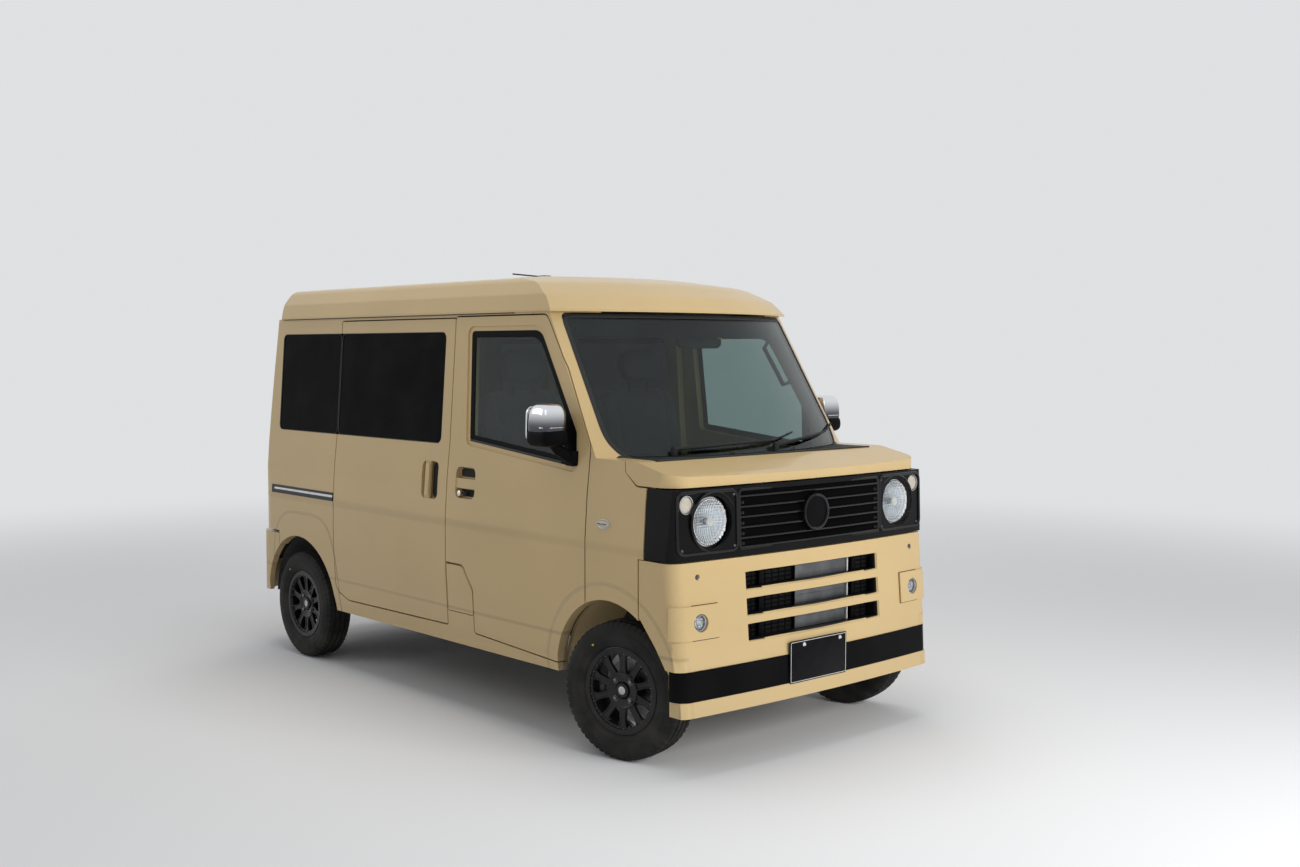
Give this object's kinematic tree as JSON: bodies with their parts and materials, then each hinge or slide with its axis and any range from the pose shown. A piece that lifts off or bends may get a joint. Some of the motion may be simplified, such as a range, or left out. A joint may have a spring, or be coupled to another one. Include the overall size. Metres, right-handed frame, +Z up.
{
  "type": "high-roof kei van",
  "caption": "Small high-roof van with a flat nose, round head lamps in a black panel, sliding side doors, tinted rear glass and black wheels.",
  "frame": {"origin": "on the ground, under the middle of the vehicle's length and width", "axes": "+X forward, +Y to the vehicle's left, +Z up"},
  "size_m": [3.395, 1.736, 1.9375],
  "materials": {
    "body_paint": "gloss",
    "clear_glass": "polished",
    "dark_glass": "polished",
    "bright_rail": "satin",
    "gloss_black": "gloss",
    "lamp_lens": "polished",
    "red_lens": "gloss",
    "black_trim": "matte",
    "mirror_shell": "polished",
    "cabin_plastic": "matte",
    "seat_cloth": "woven",
    "dark_underbody": "matte",
    "engine_metal": "cast",
    "black_steel": "satin",
    "exhaust_steel": "satin",
    "radiator_metal": "satin",
    "tyre_rubber": "matte",
    "wheel_black": "satin gloss"
  },
  "bodies": {
    "root": {"body_side_right": "body_paint", "body_side_left": "body_paint", "roof_panel": "body_paint", "windscreen": "clear_glass", "rear_side_glass": "dark_glass", "sliding_door_right": "body_paint", "sliding_door_left": "body_paint", "slide_rails": "bright_rail", "grille_panel": "gloss_black", "front_lamps": "lamp_lens", "front_bumper": "body_paint", "bumper_strip": "black_trim", "rear_bumper": "body_paint", "tail_lamps": "red_lens", "cowl": "black_trim", "wipers": "black_trim", "antenna": "black_trim", "dashboard": "cabin_plastic", "steering_column": "cabin_plastic", "front_seats": "seat_cloth", "rear_bench": "seat_cloth", "floor_pan": "dark_underbody", "chassis_frame": "dark_underbody", "engine": "engine_metal", "propeller_shaft": "black_steel", "front_suspension": "black_steel", "rear_axle": "black_steel", "exhaust": "exhaust_steel", "fuel_tank": "dark_underbody", "radiator": "radiator_metal"},
    "front_door_right": {"front_door_right": "body_paint", "front_door_glass_right": "clear_glass", "mirror_right": "mirror_shell"},
    "front_door_left": {"front_door_left": "body_paint", "front_door_glass_left": "clear_glass", "mirror_left": "mirror_shell"},
    "tailgate": {"tailgate": "body_paint", "tailgate_glass": "dark_glass"},
    "hood": {"hood": "body_paint"},
    "fuel_lid": {"fuel_lid": "body_paint"},
    "steering_wheel": {"steering_wheel": "cabin_plastic"},
    "knuckle_right": {"knuckle_right": "black_steel"},
    "knuckle_left": {"knuckle_left": "black_steel"},
    "front_wheel_right": {"front_tyre_right": "tyre_rubber", "front_wheel_right": "wheel_black"},
    "front_wheel_left": {"front_tyre_left": "tyre_rubber", "front_wheel_left": "wheel_black"},
    "rear_wheel_right": {"rear_tyre_right": "tyre_rubber", "rear_wheel_right": "wheel_black"},
    "rear_wheel_left": {"rear_tyre_left": "tyre_rubber", "rear_wheel_left": "wheel_black"}
  },
  "joints": [
    {"name": "steer_right", "type": "hinge", "parent": "root", "child": "knuckle_right", "pos_m": [1.281, -0.6, 0.276], "axis": [0, 0, 1], "range_deg": [-48.5, 23.5]},
    {"name": "steer_left", "type": "hinge", "parent": "root", "child": "knuckle_left", "pos_m": [1.281, 0.6, 0.276], "axis": [0, 0, 1], "range_deg": [-48.5, 23.5]},
    {"name": "steering_wheel_turn", "type": "hinge", "parent": "root", "child": "steering_wheel", "pos_m": [0.905, -0.345, 1.02], "axis": [-0.6198, 0, 0.7848], "range_deg": [-727.5, 352.5]},
    {"name": "front_wheel_spin_right", "type": "hinge", "parent": "knuckle_right", "child": "front_wheel_right", "pos_m": [1.29236, -0.65126, 0.268], "axis": [-0.2164, 0.9763, 0], "continuous": true},
    {"name": "rear_wheel_spin_right", "type": "hinge", "parent": "root", "child": "rear_wheel_right", "pos_m": [-1.169, -0.65, 0.268], "axis": [0, 1, 0], "continuous": true},
    {"name": "front_door_swing_right", "type": "hinge", "parent": "root", "child": "front_door_right", "pos_m": [1.108, -0.734, 0.9], "axis": [0, 0, 1], "range_deg": [0, 68]},
    {"name": "front_wheel_spin_left", "type": "hinge", "parent": "knuckle_left", "child": "front_wheel_left", "pos_m": [1.26964, 0.65126, 0.268], "axis": [-0.2164, 0.9763, 0], "continuous": true},
    {"name": "rear_wheel_spin_left", "type": "hinge", "parent": "root", "child": "rear_wheel_left", "pos_m": [-1.169, 0.65, 0.268], "axis": [0, 1, 0], "continuous": true},
    {"name": "front_door_swing_left", "type": "hinge", "parent": "root", "child": "front_door_left", "pos_m": [1.108, 0.734, 0.9], "axis": [0, 0, -1], "range_deg": [0, 68]},
    {"name": "tailgate_lift", "type": "hinge", "parent": "root", "child": "tailgate", "pos_m": [-1.552, 0, 1.706], "axis": [0, 1, 0], "range_deg": [0, 85]},
    {"name": "hood_lift", "type": "hinge", "parent": "root", "child": "hood", "pos_m": [1.336, 0, 1.15], "axis": [0, -1, 0], "range_deg": [0, 50]},
    {"name": "fuel_lid_swing", "type": "hinge", "parent": "root", "child": "fuel_lid", "pos_m": [0.179, -0.736, 0.53], "axis": [0, 0, -1], "range_deg": [0, 85]}
  ],
  "couplings": [
    {"joint": "steer_left", "follows": "steer_right", "ratio": 1},
    {"joint": "steering_wheel_turn", "follows": "steer_right", "ratio": 15}
  ]
}
